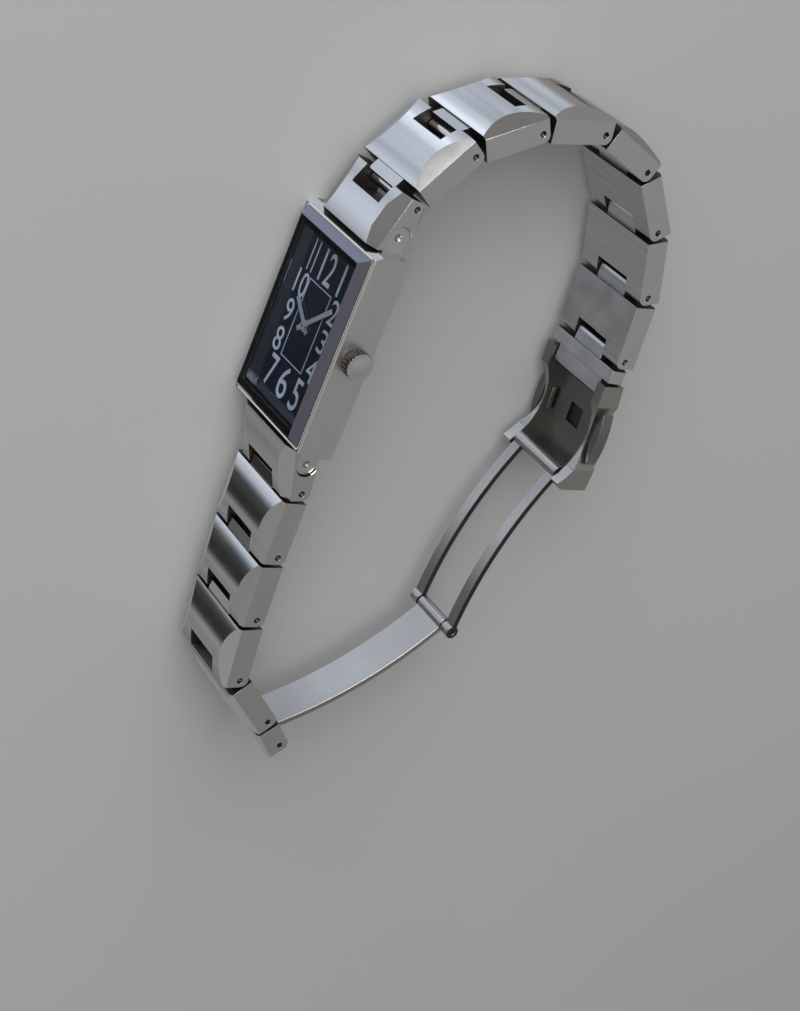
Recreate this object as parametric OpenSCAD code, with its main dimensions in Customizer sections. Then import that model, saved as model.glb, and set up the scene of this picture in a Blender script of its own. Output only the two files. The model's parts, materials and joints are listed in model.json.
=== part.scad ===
// Small rectangular quartz watch on a link bracelet, clasp opened
// The watch lies on its 9 o'clock side: +Z is the crown side, the dial faces -Y,
// 12 o'clock is -X, and the origin is the middle of the case's 9 o'clock side.

/* [Case] */
// Length of the case between the two end links
case_len = 27.2; // [26.8:0.1:29]
// Width of the case from 9 to 3 o'clock
case_w = 18; // [17.6:0.1:19.5]
// Distance from the crown's axis to the front face of the case
case_front = 2.7; // [2.6:0.1:3.2]
// Distance from the crown's axis to the seat of the case back
case_rear = 2.5; // [2.4:0.1:3]
// Depth of the sloped step at both ends of the front face
end_slope = 1.3; // [0.8:0.1:1.6]
// Thickness of the case back
back_t = 0.9; // [0.7:0.1:1.4]
// Margin of the case back inside the case's outline
back_margin = 1.1; // [0.8:0.1:1.6]
// Length of the movement's cavity
cavity_len = 19.4; // [19.2:0.1:20.4]
// Width of the movement's cavity
cavity_w = 13.6; // [13.4:0.1:14.2]
// Radius of the case back screws' heads
screw_head_r = 0.75; // [0.6:0.05:0.9]
// Length of a case back screw under its head
screw_len = 1.6; // [1.2:0.1:2.2]

/* [Crystal and dial] */
// Length of the crystal
glass_len = 25.6; // [25:0.1:26]
// Width of the crystal
glass_w = 16.8; // [16.4:0.1:17]
// Height of the crystal above the case's front face
glass_rise = 1.1; // [0.8:0.1:1.5]
// Depth of the crystal below the case's front face
glass_seat = 0.6; // [0.5:0.05:0.8]
// Width of the polished bevel round the crystal
glass_bevel = 1.0; // [0.6:0.1:1.4]
// Wall of the crystal's gasket
glass_gasket_t = 0.25; // [0.2:0.05:0.3]
// Thickness of the dial
dial_t = 0.4; // [0.3:0.05:0.5]
// Length of the dial
dial_len = 22.4; // [22:0.1:23]
// Width of the dial
dial_w = 14.6; // [14.4:0.1:15]
// Width of the silver frame round the dial
frame_w = 0.5; // [0.4:0.05:0.8]

/* [Hands] */
// Length of the minute hand from the centre
minute_len = 6.2; // [5:0.1:6.6]
// Length of the hour hand from the centre
hour_len = 4.3; // [3:0.1:4.8]
// Thickness of each hand
hand_t = 0.12; // [0.1:0.01:0.14]
// Width of each hand
hand_w = 0.62; // [0.4:0.02:0.8]

/* [Movement] */
// Length of the main plate
plate_len = 15.6; // [15:0.1:16.4]
// Width of the main plate
plate_w = 12.6; // [12:0.1:13]
// Thickness of the main plate
plate_t = 0.8; // [0.7:0.05:0.9]
// Radius of the button cell
cell_r = 3.1; // [2.9:0.05:3.2]
// Thickness of the button cell
cell_t = 1.2; // [1:0.05:1.3]
// Radius of the coil
coil_r = 0.75; // [0.6:0.05:0.8]
// Length of the coil
coil_len = 8; // [7:0.1:9]

/* [Crown] */
// Radius of the crown
crown_r = 1.85; // [1.6:0.05:2.1]
// Length of the crown
crown_len = 1.7; // [1.5:0.05:2.2]
// Gap between the crown and the side of the case
crown_gap = 0.2; // [0.15:0.05:0.3]
// Travel of the crown when it is pulled out
crown_travel = 0.6; // [0.4:0.05:0.7]
// Number of grip flutes round the crown
crown_flutes = 22; // [16:1:26]
// Radius of the winding stem
stem_r = 0.35; // [0.3:0.01:0.4]
// Outer radius of the crown tube
tube_r = 0.8; // [0.75:0.01:0.85]

/* [Bracelet] */
// Width of the bracelet
band_w = 14; // [13.6:0.1:14.4]
// Distance between the pins of a link
pitch = 9.4; // [9.2:0.05:9.7]
// Height of a link's arched face above its pins, in the middle
arch_top = 2.9; // [2.7:0.05:3.1]
// Height of a link's arched face above its pins, at the ends
arch_end = 2.1; // [2:0.05:2.3]
// Depth of a link's flat inner face below its pins
link_under = 1.25; // [1.2:0.05:1.4]
// Width of the tongue between the ears
tongue_w = 6.4; // [6:0.1:6.8]
// Clearance on each side of the tongue
tongue_gap = 0.2; // [0.15:0.05:0.3]
// Radius of the knuckle at the end of the tongue
knuckle_r = 0.85; // [0.8:0.01:0.9]
// Reach of the ears beyond their pin
ear_r = 1.0; // [0.95:0.01:1.05]
// Gap between the ears and the next link's face
link_gap = 0.45; // [0.4:0.05:0.55]
// Length of the window between a link's slab and the next knuckle
window = 0.8; // [0.7:0.05:1]
// Width of the facets along both sides of the arched face
facet_w = 2.2; // [1.6:0.1:2.6]
// Depth of the facets at the sides of the bracelet
facet_drop = 1.1; // [0.7:0.05:1.2]
// Radius of the link pins
pin_r = 0.42; // [0.38:0.01:0.45]
// Depth of the pins' ends below the sides of the bracelet
pin_inset = 0.35; // [0.2:0.05:0.5]

/* [Case lugs and end links] */
// Distance of the spring bars from the case's ends
bar_out = 2.0; // [1.9:0.05:2.2]
// Depth of the spring bars below the crown's axis
bar_deep = 1.0; // [0.9:0.05:1.1]
// Radius of the case's lugs
lug_r = 1.45; // [1.35:0.05:1.5]
// Distance of the end links' pins from the case's ends
end_pin_out = 6.0; // [5.9:0.05:6.3]
// Depth of the end links' pins below the crown's axis
end_pin_deep = 1.8; // [1.7:0.05:1.9]
// Slope of the end links' outer ends
end_tilt = 8; // [6:0.5:9]

/* [Pose of the bracelet] */
// Directions of the seven links on the 12 o'clock side
turn_12 = [33, 60, 79, 110, 141, 160, 174]; // [0:1:180]
// Direction of the clasp link on the 12 o'clock side
turn_clasp_12 = 179; // [176:1:180]
// Directions of the four links on the 6 o'clock side
turn_6 = [2, 4, 7, 48]; // [0:1:180]
// Direction of the clasp link on the 6 o'clock side
turn_clasp_6 = 43; // [42:1:44]
// Direction of the clasp cover
turn_cover = 175; // [173:1:177]

/* [Clasp] */
// Distance between the pins of the 12 o'clock clasp link
clasp_len_12 = 5.2; // [5:0.1:5.6]
// Distance between the pins of the 6 o'clock clasp link
clasp_len_6 = 5.0; // [4.9:0.1:5.4]
// Distance between the two pins of the clasp cover
cover_len = 12.8; // [12.4:0.1:13.4]
// Reach of the cover beyond its pins
cover_end = 1.5; // [1.4:0.05:1.7]
// Width of the clasp cover
cover_w = 14.2; // [14:0.1:14.6]
// Width of the channel inside the cover
channel_w = 10.8; // [10.6:0.1:11]
// Height of the cover's outer face above its pins
cover_top = 2.2; // [2.1:0.05:2.5]
// Thickness of the cover's floor
cover_floor = 0.7; // [0.6:0.05:0.8]
// Depth of the hinge pin below the bracelet pins' line
hinge_deep = 2.1; // [2:0.05:2.2]
// Side of the square latch recess
latch_hole = 2.9; // [2.6:0.1:3.1]
// Depth of the waist on each side of the cover
waist = 1.3; // [1:0.05:1.3]
// Length of the waist
waist_len = 9.6; // [9:0.1:10]
// Travel of each push button
button_travel = 0.4; // [0.3:0.05:0.45]
// Height of each push button
button_h = 1.7; // [1.4:0.1:1.8]
// Length of the frame blade between its pins
frame_len = 27; // [26:0.1:27.5]
// Width of each rail of the frame blade
rail_w = 1.7; // [1.4:0.1:1.8]
// Thickness of both blades
blade_t = 0.8; // [0.7:0.05:0.9]
// Radius of the blades' eyes
eye_r = 0.95; // [0.9:0.01:1]
// Radius of the blades' pins
blade_pin_r = 0.4; // [0.36:0.01:0.42]
// Length of the inner blade between its pins
inner_len = 28.8; // [28.4:0.1:29.2]
// Width of the inner blade
inner_w = 6.2; // [5.8:0.1:6.4]
// Height of the latch post above the middle of the inner blade
post_high = 1.9; // [1.6:0.1:2.2]
// Radius of both blades' curve
blade_curve_r = 60; // [50:1:90]

/* [Fits] */
// Clearance round a pin that turns
turn_fit = 0.03; // [0.02:0.01:0.05]
// Clearance round a pin that is driven in
press_fit = 0.01; // [0.01:0.005:0.02]
// Clearance between parts that are set into each other
seat_fit = 0.05; // [0.03:0.01:0.08]

/* [Hidden] */
$fn = 96;
eps = 0.01;
clear = 60;
mid = case_w / 2;
links_12 = len(turn_12);
links_6 = len(turn_6);

// Layers of the watch head, counted along Y from the dial side
front_y = -case_front;
glass_top_y = front_y - glass_rise;
glass_low_y = front_y + glass_seat;
frame_gap = 0.9;
dial_y = glass_low_y + frame_gap;
plate_y = dial_y + dial_t;
train_y = plate_y + plate_t;
hand_gap = 0.16;
hour_y = dial_y - hand_gap - hand_t;
minute_y = hour_y - hand_gap - hand_t;
post_r = 0.22;
pipe_r = 0.45;

// Bracelet sizes that follow from the ones above
slab_u = ear_r + link_gap;
window_u = knuckle_r + window;
slot_w = tongue_w + 2 * tongue_gap;
tongue_top = arch_end - 0.2;
bar_x = case_len / 2 + bar_out;
end_pin_x = case_len / 2 + end_pin_out;

// Places of the pins: a walk along the links from the end link's pin
function step_12(p, turn, reach) = [p[0] - reach * cos(turn), p[1] + reach * sin(turn)];
function step_6(p, turn, reach) = [p[0] + reach * cos(turn), p[1] + reach * sin(turn)];
function walk_12(i) = i == 0 ? [-end_pin_x, end_pin_deep] : step_12(walk_12(i - 1), turn_12[i - 1], pitch);
function walk_6(i) = i == 0 ? [end_pin_x, end_pin_deep] : step_6(walk_6(i - 1), turn_6[i - 1], pitch);
cover_pin = step_12(walk_12(links_12), turn_clasp_12, clasp_len_12);
inner_pin = step_6(walk_6(links_6), turn_clasp_6, clasp_len_6);
// The hinge pin lies deeper than the line of the bracelet pins
hinge_line = step_12(cover_pin, turn_cover, cover_len);
hinge_pin = [hinge_line[0] + hinge_deep * sin(turn_cover), hinge_line[1] + hinge_deep * cos(turn_cover)];
// The two blades span the distance from the hinge pin to the inner blade's pin
span = norm(inner_pin - hinge_pin);
span_turn = atan2(hinge_pin[1] - inner_pin[1], inner_pin[0] - hinge_pin[0]);
frame_lift = acos((frame_len * frame_len + span * span - inner_len * inner_len) / (2 * frame_len * span));
turn_frame = span_turn - frame_lift;
blade_joint = step_12(hinge_pin, 180 + turn_frame, frame_len);
inner_turn = atan2(blade_joint[1] - inner_pin[1], blade_joint[0] - inner_pin[0]);

// Frames of the links: local X runs along the bracelet, local Y points outwards
module at_12(p, turn) {
    translate([p[0], p[1], mid]) rotate([0, 0, 180 - turn]) children();
}

module at_6(p, turn) {
    translate([p[0], p[1], mid]) rotate([0, 0, turn]) mirror([0, 1, 0]) children();
}

// Solids along the width of the watch, centred on the middle of the case
module across(w) {
    translate([0, 0, -w / 2]) linear_extrude(height = w) children();
}

module bar(r, w) {
    translate([0, 0, -w / 2]) cylinder(r = r, h = w);
}

module bar_at(p, r, w) {
    translate([p[0], p[1], mid]) bar(r, w);
}

module along_band(len) {
    translate([-clear / 2, 0, 0]) rotate([0, 90, 0]) linear_extrude(height = len + clear) children();
}

// Plate with rounded corners, seen from the dial, from y0 to y1
module slab_y(len, w, r, y0, y1) {
    translate([0, y0, mid]) rotate([-90, 0, 0]) linear_extrude(height = y1 - y0) rounded(len, w, r);
}

module rounded(len, w, r) {
    square([len - 2 * r, w], center = true);
    square([len, w - 2 * r], center = true);
    for (sx = [-1, 1]) {
        for (sy = [-1, 1]) {
            translate([sx * (len / 2 - r), sy * (w / 2 - r)]) circle(r = r);
        }
    }
}

// Disc whose axis runs along Y
module disc_y(x, z, r, y0, y1) {
    translate([x, y0, z]) rotate([-90, 0, 0]) cylinder(r = r, h = y1 - y0);
}

// Disc whose axis runs along Z
module disc_z(r, z0, z1) {
    translate([0, 0, z0]) cylinder(r = r, h = z1 - z0);
}

// Case middle: a block with sloped ends, lugs under the end links and a stepped bore for the works
module case_side() {
    half = case_len / 2;
    slope = end_slope * slope_run;
    polygon([
        [-half + slope, front_y], [half - slope, front_y],
        [half, front_y + end_slope], [half, case_rear - rear_rise], [half - rear_run, case_rear],
        [-half + rear_run, case_rear], [-half, case_rear - rear_rise], [-half, front_y + end_slope]
    ]);
}

module lug_side() {
    translate([bar_x, bar_deep]) circle(r = lug_r);
    translate([case_len / 2 - lug_root, bar_deep - lug_r]) square([bar_out + lug_root, 2 * lug_r]);
}

// Shares and depths of the case's bevels, and how far the lugs run into the case
slope_run = 0.45;
rear_rise = 0.5;
rear_run = 0.7;
lug_root = 1;
case_ease = 0.2;
lug_in = slot_w / 2;
lug_out = band_w / 2 - 0.4;
gasket_groove = 0.35;
groove_in = 0.25;
groove_out = 0.7;
groove_corner = 1.2;

module case_middle() {
    color("gainsboro") difference() {
        union() {
            intersection() {
                translate([0, 0, mid]) across(case_w) case_side();
                translate([0, 0, mid]) along_band(0) case_section();
            }
            for (side = [-1, 1]) {
                for (ear = [-1, 1]) {
                    translate([0, 0, mid + ear * (lug_in + lug_out) / 2])
                        mirror([side < 0 ? 1 : 0, 0, 0]) across(lug_out - lug_in) lug_side();
                }
            }
        }
        // Seat of the crystal and its gasket
        slab_y(glass_len + 2 * glass_gasket_t, glass_w + 2 * glass_gasket_t, 0.6, front_y - 1, glass_low_y);
        // Opening over the dial
        slab_y(dial_len + 2 * seat_fit, dial_w + 2 * seat_fit, 0.4, front_y, plate_y);
        // Cavity for the movement
        slab_y(cavity_len, cavity_w, 0.8, plate_y - eps, case_rear + 1);
        // Groove for the case back's gasket
        difference() {
            slab_y(cavity_len + 2 * groove_out, cavity_w + 2 * groove_out, groove_corner,
                case_rear - gasket_groove, case_rear + 1);
            slab_y(cavity_len + 2 * groove_in, cavity_w + 2 * groove_in, 1, case_rear - 1, case_rear + 2);
        }
        // Bore for the crown tube
        translate([0, 0, mid]) cylinder(r = tube_r + press_fit, h = case_w);
        // Tapped holes of the case back
        screw_places() disc_y(0, 0, screw_head_r * 0.55, case_rear - screw_len - 0.1, case_rear + 1);
        // Holes of the spring bars
        for (side = [-1, 1]) {
            bar_at([side * bar_x, bar_deep], spring_bar_r + press_fit, 2 * lug_out + 1);
        }
    }
}

// Section across the case: its long front edges are eased
module case_section() {
    half = case_w / 2;
    polygon([
        [-half, case_rear], [-half, front_y + case_ease], [-half + case_ease, front_y],
        [half - case_ease, front_y], [half, front_y + case_ease], [half, case_rear]
    ]);
}

spring_bar_r = 0.5;
screw_x = cavity_len / 2 + 1.35;
screw_z = cavity_w / 2 - 0.6;

// The case back reaches past its screws, and its raised middle lies between their heads
back_rim = 0.3;
raised_gap = 0.6;
raised_side = 0.8;
back_half = max(case_len / 2 - back_margin, screw_x + screw_head_r + back_rim);
raised_half = screw_x - screw_head_r - raised_gap;

module screw_places() {
    for (sx = [-1, 1]) {
        for (sz = [-1, 1]) {
            translate([sx * screw_x, 0, mid + sz * screw_z]) children();
        }
    }
}

module case_back() {
    color("silver") difference() {
        union() {
            slab_y(2 * back_half, case_w - 2 * back_margin, 1.6, case_rear + eps, case_rear + back_t * 0.6);
            slab_y(2 * raised_half, case_w - 2 * back_margin - 2 * raised_side, 1.4,
                case_rear + eps, case_rear + back_t);
        }
        screw_places() disc_y(0, 0, screw_head_r * 0.55, case_rear - 1, case_rear + 2);
        screw_places() disc_y(0, 0, screw_head_r + seat_fit, case_rear + back_t * 0.3, case_rear + 2);
    }
}

module case_back_gasket() {
    color("dimgray") difference() {
        outer = 2 * (groove_out - seat_fit);
        inner = 2 * (groove_in + seat_fit);
        slab_y(cavity_len + outer, cavity_w + outer, groove_corner - seat_fit,
            case_rear - gasket_groove, case_rear);
        slab_y(cavity_len + inner, cavity_w + inner, 1 + seat_fit, case_rear - 1, case_rear + 1);
    }
}

module case_back_screws() {
    head_y = case_rear + back_t * 0.3;
    color("silver") screw_places() difference() {
        union() {
            disc_y(0, 0, screw_head_r, head_y, head_y + back_t * 0.35);
            disc_y(0, 0, screw_head_r * 0.5, case_rear - screw_len, head_y + eps);
        }
        translate([-clear / 2, head_y + back_t * 0.2, -0.1]) cube([clear, 1, 0.2]);
    }
}

// Crystal: a thick plate whose rim is ground to a steep bevel on all four sides
module crystal() {
    half_l = glass_len / 2;
    half_w = glass_w / 2;
    color("lightsteelblue", 0.35) intersection() {
        slab_y(glass_len, glass_w, 0.4, glass_top_y, glass_low_y);
        translate([0, 0, mid]) across(clear) polygon([
            [-half_l, glass_low_y], [-half_l, front_y], [-half_l + glass_bevel, glass_top_y],
            [half_l - glass_bevel, glass_top_y], [half_l, front_y], [half_l, glass_low_y]
        ]);
        translate([clear / 2, 0, mid]) rotate([0, -90, 0]) linear_extrude(height = clear) polygon([
            [-half_w, glass_low_y], [-half_w, front_y], [-half_w + glass_bevel, glass_top_y],
            [half_w - glass_bevel, glass_top_y], [half_w, front_y], [half_w, glass_low_y]
        ]);
    }
}

module crystal_gasket() {
    color("whitesmoke") difference() {
        slab_y(glass_len + 2 * glass_gasket_t - 2 * press_fit, glass_w + 2 * glass_gasket_t - 2 * press_fit,
            0.6, front_y + 0.1, glass_low_y);
        slab_y(glass_len + 2 * press_fit, glass_w + 2 * press_fit, 0.4, front_y - 1, glass_low_y + 1);
    }
}

// Silver frame that stands between the dial and the crystal
module dial_frame() {
    color("silver") difference() {
        slab_y(dial_len, dial_w, 0.4, glass_low_y, dial_y);
        slab_y(dial_len - 2 * frame_w, dial_w - 2 * frame_w, 0.2, glass_low_y - 1, dial_y + 1);
    }
}

module dial() {
    color("midnightblue") difference() {
        slab_y(dial_len, dial_w, 0.4, dial_y, plate_y);
        disc_y(0, mid, pipe_r + 0.15, dial_y - 1, plate_y + 1);
    }
}

module movement_holder() {
    color("white") difference() {
        slab_y(cavity_len - 2 * seat_fit, cavity_w - 2 * seat_fit, 0.7, plate_y, case_rear - 0.3);
        slab_y(plate_len + 2 * seat_fit, plate_w + 2 * seat_fit, 1.2, plate_y - 1, case_rear + 1);
        translate([0, 0, mid]) cylinder(r = tube_r + seat_fit, h = case_w);
    }
}

cell_x = plate_len / 2 - cell_r - 0.5;
cell_z = mid - plate_w / 2 + cell_r + 0.5;
coil_x = -plate_len / 2 + coil_r + 0.8;

module main_plate() {
    color("goldenrod") difference() {
        slab_y(plate_len, plate_w, 1.2, plate_y, train_y);
        disc_y(0, mid, post_r + turn_fit, plate_y - 1, train_y + 1);
        // Recess for the hour wheel under the dial
        disc_y(0, mid, hour_wheel_r + 0.2, plate_y - 1, plate_y + wheel_t + 0.2);
        translate([0, 0, mid + 1.5]) cylinder(r = stem_r + 0.15, h = case_w);
        disc_y(cell_x, cell_z, cell_r + 0.1, train_y - 0.2, train_y + 1);
    }
}

board_y = train_y + cell_t - 0.5;
bridge_y = board_y + 0.5;

module circuit_board() {
    color("darkgreen") difference() {
        slab_y(plate_len - 0.6, plate_w - 0.6, 1, board_y, board_y + 0.25);
        disc_y(cell_x, cell_z, cell_r + 0.2, board_y - 1, board_y + 1);
        translate([coil_x - coil_r - 0.2, board_y - 1, mid - coil_len / 2 - 0.5])
            cube([2 * coil_r + 0.4, 3, coil_len + 1]);
        disc_y(0, mid, post_r + 0.2, board_y - 1, board_y + 1);
        pillars(pillar_w + 2 * pillar_air, board_y - 1, board_y + 1);
    }
}

// Bridge over the train, on two pillars that reach through the circuit board to the main plate
bridge_x = [-3.4, 1.8];
bridge_z = [-1.6, 4];
bridge_t = 0.35;
pillar_x = -2.5;
pillar_z = [-1.1, 3.4];
pillar_w = 0.9;
pillar_air = 0.15;

module pillars(w, y0, y1) {
    for (z = pillar_z) {
        translate([pillar_x - w / 2, y0, mid + z - w / 2]) cube([w, y1 - y0, w]);
    }
}

module train_bridge() {
    color("silver") difference() {
        union() {
            translate([bridge_x[0], bridge_y, mid + bridge_z[0]])
                cube([bridge_x[1] - bridge_x[0], bridge_t, bridge_z[1] - bridge_z[0]]);
            pillars(pillar_w, train_y, bridge_y + eps);
        }
        disc_y(0, mid, post_r + turn_fit, bridge_y - 1, bridge_y + 1);
    }
}

module coil() {
    color("peru") translate([coil_x, train_y + coil_r + 0.05, mid]) difference() {
        union() {
            bar(coil_r, coil_len);
            for (end = [-1, 1]) {
                translate([0, 0, end * (coil_len / 2 + 0.2)]) bar(coil_r + 0.04, 0.4);
            }
        }
        bar(0.2, coil_len + 2);
    }
}

module button_cell() {
    color("lightgray") {
        disc_y(cell_x, cell_z, cell_r, train_y - 0.2, train_y + cell_t - 0.35);
        disc_y(cell_x, cell_z, cell_r - 0.5, train_y + cell_t - 0.36, train_y + cell_t - 0.2);
    }
}

// Wheels with their pipes: the centre wheel turns in the hour wheel
module centre_wheel() {
    wheel_r = 1.5;
    color("gold") {
        disc_y(0, mid, post_r, minute_y, bridge_y + 0.3);
        toothed(wheel_r, 20, train_y + 0.1, train_y + 0.1 + wheel_t);
    }
}

module toothed(r, teeth, y0, y1) {
    difference() {
        disc_y(0, mid, r, y0, y1);
        for (i = [0:teeth - 1]) {
            translate([r * cos(i * 360 / teeth), 0, mid + r * sin(i * 360 / teeth)])
                disc_y(0, 0, r * 0.09, y0 - 1, y1 + 1);
        }
    }
}

wheel_t = 0.15;
hour_wheel_r = 1.8;

module hour_wheel() {
    color("gold") difference() {
        union() {
            disc_y(0, mid, pipe_r, hour_y, plate_y + wheel_t);
            toothed(hour_wheel_r, 24, plate_y + 0.05, plate_y + 0.05 + wheel_t);
        }
        disc_y(0, mid, post_r + turn_fit, hour_y - 1, train_y + 1);
    }
}

// Hands: slim batons with a hub, the minute hand at 12 and the hour hand towards 10
module hand(len, y, hub_r, hole_r) {
    difference() {
        union() {
            disc_y(0, 0, hub_r, y, y + hand_t);
            translate([-len, y, -hand_w / 2]) cube([len + hand_tail, hand_t, hand_w]);
        }
        disc_y(0, 0, hole_r, y - 1, y + 1);
    }
}

minute_at = 48;
hour_at = 304;
hand_tail = 1.2;
minute_hub_r = 0.55;
hour_hub_r = 0.75;

module minute_hand() {
    color("silver") translate([0, 0, mid]) rotate([0, minute_at, 0])
        hand(minute_len, minute_y, minute_hub_r, post_r + press_fit);
}

module hour_hand() {
    color("silver") translate([0, 0, mid]) rotate([0, hour_at, 0])
        hand(hour_len, hour_y, hour_hub_r, pipe_r + press_fit);
}

crown_low = case_w + crown_gap;
crown_high = crown_low + crown_len;
crown_wall = 0.45;
tube_high = crown_high - crown_wall - 0.15;
seal_low = crown_low + 0.15;
seal_high = tube_high - crown_travel;
stem_low = mid + 1.9;

module crown_tube() {
    color("silver") difference() {
        disc_z(tube_r, mid + cavity_w / 2 + 0.2, tube_high);
        disc_z(stem_r + turn_fit, 0, clear);
    }
}

module crown_gasket() {
    color("black") difference() {
        disc_z(tube_r + 0.25, seal_low, seal_high);
        disc_z(tube_r + turn_fit, 0, clear);
    }
}

module crown() {
    color("silver") difference() {
        union() {
            disc_z(crown_r, crown_low + 0.15, crown_high - 0.2);
            disc_z(crown_r - 0.15, crown_low, crown_low + 0.2);
            intersection() {
                disc_z(crown_r - 0.1, crown_high - 0.4, crown_high);
                translate([0, 0, crown_high - 3 * crown_r]) sphere(r = 3 * crown_r);
            }
        }
        // Well that takes the crown tube and its gasket
        disc_z(tube_r + 0.25 + turn_fit, crown_low - 1, crown_high - crown_wall);
        disc_z(stem_r + press_fit, 0, crown_high - crown_wall / 2);
        for (i = [0:crown_flutes - 1]) {
            rotate([0, 0, i * 360 / crown_flutes]) translate([crown_r + 0.06, 0, crown_low - 1])
                cylinder(r = 0.16, h = crown_len + 2, $fn = 24);
        }
    }
}

module winding_stem() {
    color("silver") disc_z(stem_r, stem_low, crown_high - crown_wall / 2);
}

module lug_spring_bars() {
    color("silver") for (side = [-1, 1]) {
        bar_at([side * bar_x, bar_deep], spring_bar_r, 2 * lug_out - 0.6);
    }
}

// End link: fills the end of the case, takes the lugs in its sides and the first link between its ears
end_gap = 0.2;
end_bulge = 0.35;
end_step = 0.35;
end_back = 0.3;
lug_air = 0.15;
// The end links start past the longer of the case and the crystal's seat
head_end = max(case_len / 2, glass_len / 2 + glass_gasket_t);
end_top = [head_end + end_gap, front_y + end_step];

function along(p, turn, u, v) = [p[0] + u * cos(turn) + v * sin(turn), p[1] + u * sin(turn) - v * cos(turn)];

function bulged(a, b, t) = a + (b - a) * t - [0, end_bulge * 1.2];

module end_link_side() {
    pin = [end_pin_x, end_pin_deep];
    tip = along(pin, end_tilt, ear_r, arch_end);
    bend = along(pin, end_tilt, 0, ear_r - link_under);
    polygon([
        end_top, bulged(end_top, tip, 1 / 3), bulged(end_top, tip, 2 / 3), tip,
        along(pin, end_tilt, ear_r, ear_r - link_under), bend,
        along(pin, end_tilt, 0, -link_under), [end_top[0], case_rear - end_back]
    ]);
    translate(bend) circle(r = ear_r);
}

module end_link() {
    difference() {
        intersection() {
            across(band_w) end_link_side();
            chamfered_end();
        }
        // Window and slot for the next tongue
        translate([end_pin_x, end_pin_deep, 0]) rotate([0, 0, end_tilt])
            translate([-window_u, -clear / 2, -slot_w / 2]) cube([clear, clear, slot_w]);
        // Pockets for the case's lugs
        for (ear = [-1, 1]) {
            translate([0, 0, ear * (lug_in / 2 + clear / 4 - seat_fit)])
                across(clear / 2 - lug_in) lug_pocket();
        }
        translate([bar_x, bar_deep, 0]) bar(spring_bar_r + press_fit, clear);
        translate([end_pin_x, end_pin_deep, 0]) bar(pin_r + press_fit, clear);
    }
}

module lug_pocket() {
    translate([bar_x, bar_deep]) circle(r = lug_r + lug_air);
    translate([case_len / 2 - lug_root, bar_deep - lug_r - lug_air])
        square([bar_out + lug_root, 2 * lug_r + clear]);
}

// Cuts the long edges of the end link's outer face
module chamfered_end() {
    tip = along([end_pin_x, end_pin_deep], end_tilt, ear_r, arch_end);
    slope = atan2(tip[1] - end_top[1], tip[0] - end_top[0]);
    translate([end_top[0], end_top[1], 0]) rotate([0, 0, slope]) mirror([0, 1, 0])
        along_band(0) band_section(band_w, end_bulge);
}

module end_link_6() {
    color("gainsboro") translate([0, 0, mid]) end_link();
}

module end_link_12() {
    color("gainsboro") translate([0, 0, mid]) mirror([1, 0, 0]) end_link();
}

module end_link_pins() {
    color("dimgray") for (side = [-1, 1]) {
        bar_at([side * end_pin_x, end_pin_deep], pin_r, band_w - 2 * pin_inset);
    }
}

// Link: an arched slab with a tongue at its start and two ears at its end
function arc_r(half, rise) = (half * half + rise * rise) / (2 * rise);
arch_r = arc_r((pitch + ear_r - slab_u) / 2, arch_top - arch_end);

module arch(len) {
    half = (len + ear_r - slab_u) / 2;
    translate([slab_u + half, arch_end - sqrt(arch_r * arch_r - half * half)]) circle(r = arch_r, $fn = 360);
}

module link_side(len) {
    intersection() {
        arch(len);
        union() {
            translate([slab_u, -link_under]) square([len - slab_u, link_under + arch_top]);
            // The ears end in a flat face that rounds into the inner face
            translate([len, ear_r - link_under]) circle(r = ear_r);
            translate([len - eps, ear_r - link_under]) square([ear_r + eps, arch_top + link_under - ear_r]);
        }
    }
}

// The tongue's strip starts just before its pin, over the rounded knuckle, and runs into its slab
tongue_back = 0.1;
tongue_root = 0.4;

module tongue_side() {
    circle(r = knuckle_r);
    translate([-tongue_back, 0]) square([tongue_back + slab_u + tongue_root, tongue_top]);
    translate([0, -knuckle_r]) square([slab_u + tongue_root, knuckle_r * 2]);
}

// Section across the bracelet: both sides of the outer face are cut to a facet
module band_section(w, top) {
    polygon([
        [-w / 2, -clear], [w / 2, -clear], [w / 2, top - facet_drop],
        [w / 2 - facet_w, top], [facet_w - w / 2, top], [-w / 2, top - facet_drop]
    ]);
}

module link(len, hole) {
    difference() {
        union() {
            intersection() {
                across(band_w) link_side(len);
                along_band(len) band_section(band_w, arch_top + 2 * eps);
            }
            across(tongue_w) tongue_side();
        }
        translate([len - hole, -clear / 2, -slot_w / 2]) cube([clear, clear, slot_w]);
        bar(pin_r + turn_fit, tongue_w + 1);
        translate([len, 0, 0]) bar(pin_r + press_fit, clear);
    }
}

module link_12(i) {
    color("gainsboro") at_12(walk_12(i - 1), turn_12[i - 1]) link(pitch, window_u);
}

module pin_12(i) {
    color("dimgray") bar_at(walk_12(i), pin_r, band_w - 2 * pin_inset);
}

module link_6(i) {
    color("gainsboro") at_6(walk_6(i - 1), turn_6[i - 1]) link(pitch, window_u);
}

module pin_6(i) {
    color("dimgray") bar_at(walk_6(i), pin_r, band_w - 2 * pin_inset);
}

// Clasp link on the 12 o'clock side: its far end is a barrel inside the cover
barrel_w = channel_w - 0.4;
barrel_r = 1.0;
neck_top = 0.6;

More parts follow.
